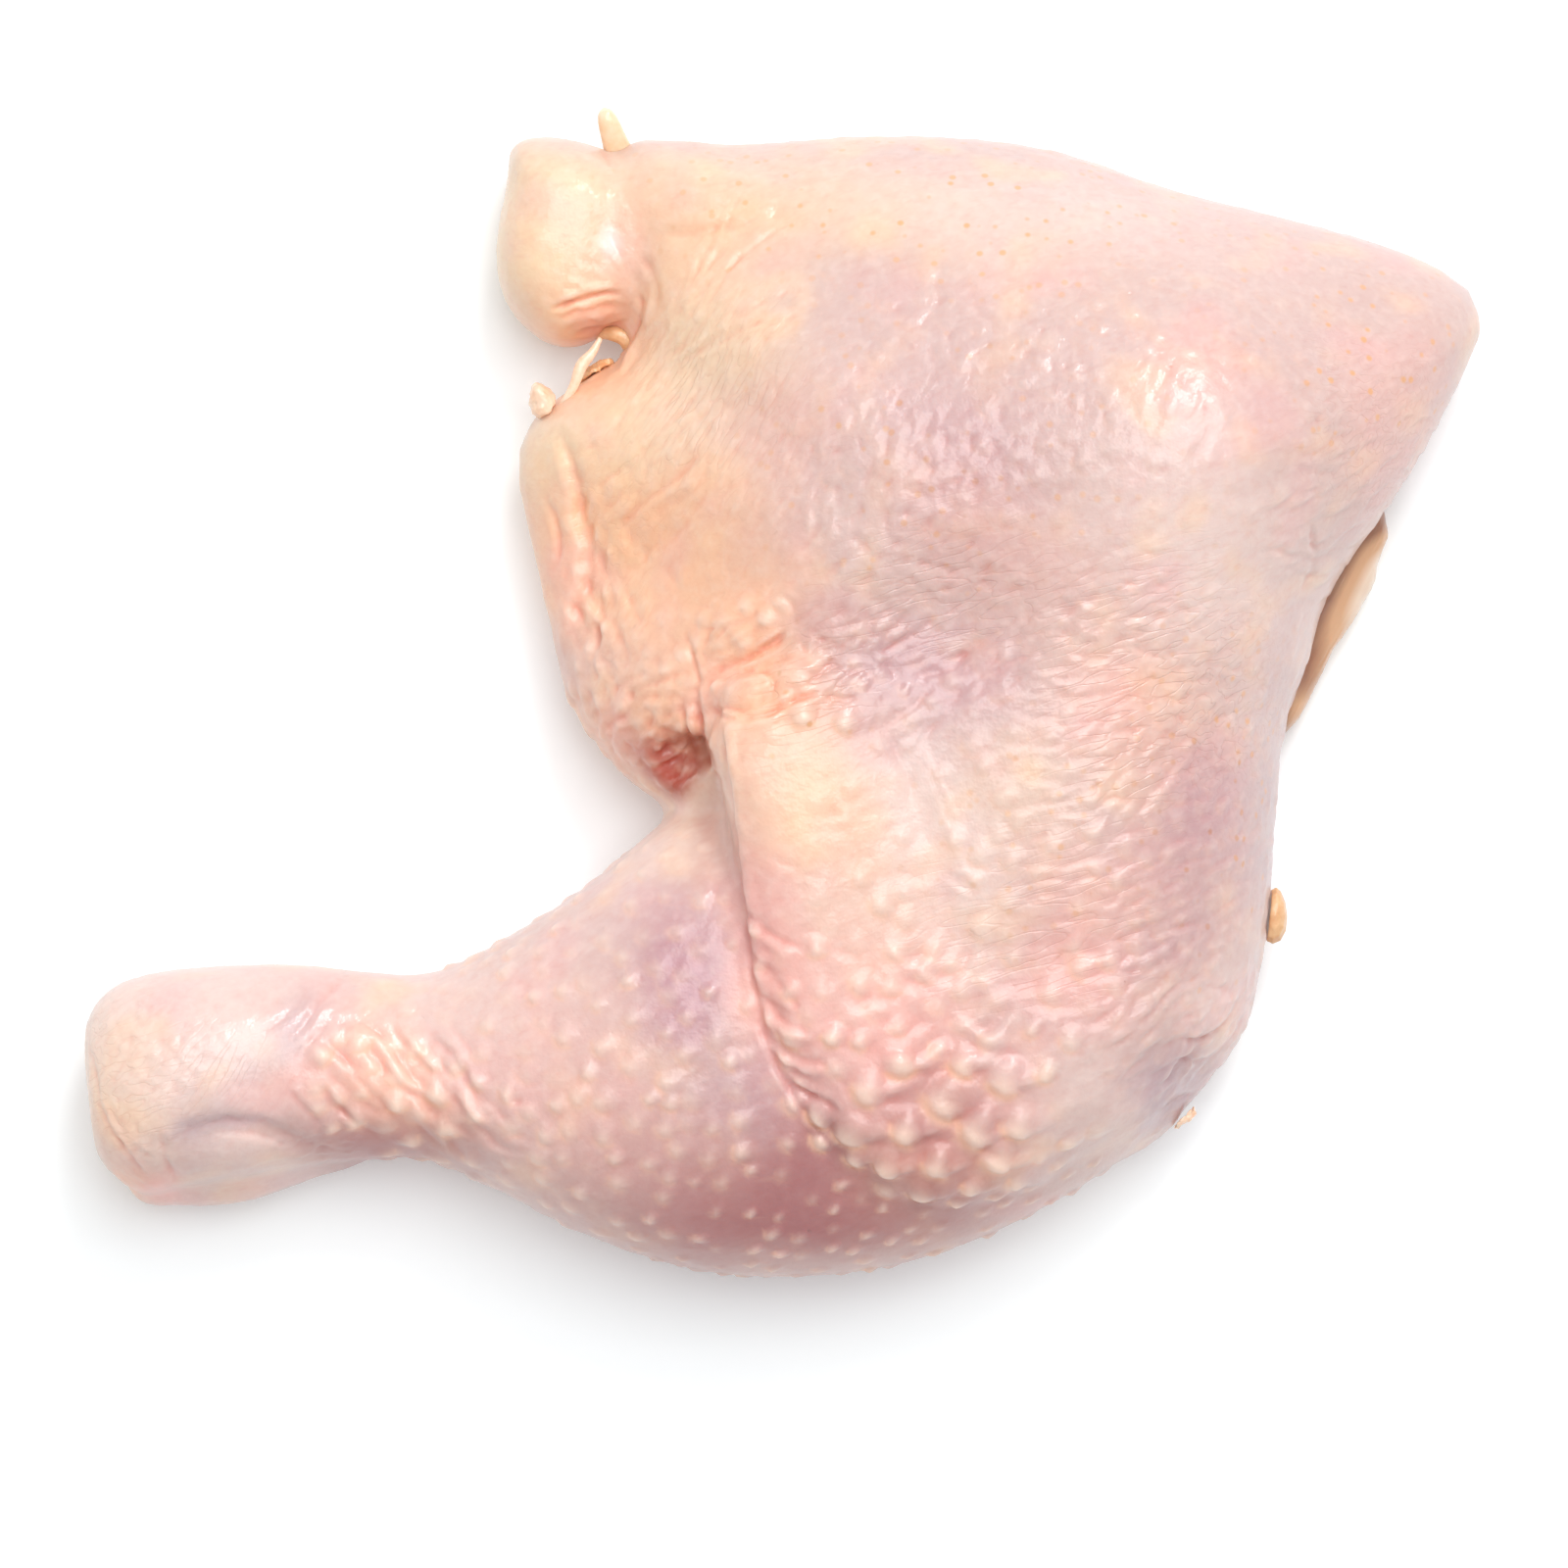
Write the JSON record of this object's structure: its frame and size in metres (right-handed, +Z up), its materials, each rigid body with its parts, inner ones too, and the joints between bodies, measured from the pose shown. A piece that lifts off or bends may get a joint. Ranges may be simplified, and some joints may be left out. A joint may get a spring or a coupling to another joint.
{
  "type": "raw chicken leg quarter",
  "caption": "Raw chicken leg quarter with its skin on: thigh and drumstick in one piece, bent at the knee and lying flat, with goosebumps, a fold of loose skin and torn edges.",
  "frame": {"origin": "on the surface it lies on, under the centre of the whole piece's box", "axes": "+Z up, +X along the longest extent from the cut hock to the back corner of the thigh, +Y from the drumstick towards the back edge"},
  "size_m": [0.171, 0.1431, 0.0408],
  "materials": {
    "skin": "moist raw skin, pale pink with yellow fat showing through",
    "meat": "moist bare meat with a pale fat rim",
    "fat": "moist yellow fat and sinew"
  },
  "bodies": {
    "root": {"leg_quarter": "skin", "inner_meat": "meat", "tail_tag": "fat", "edge_bead": "fat", "rim_nub": "fat", "torn_fat": "fat", "knee_scrap": "fat", "sinew_strand": "fat"}
  },
  "joints": []
}
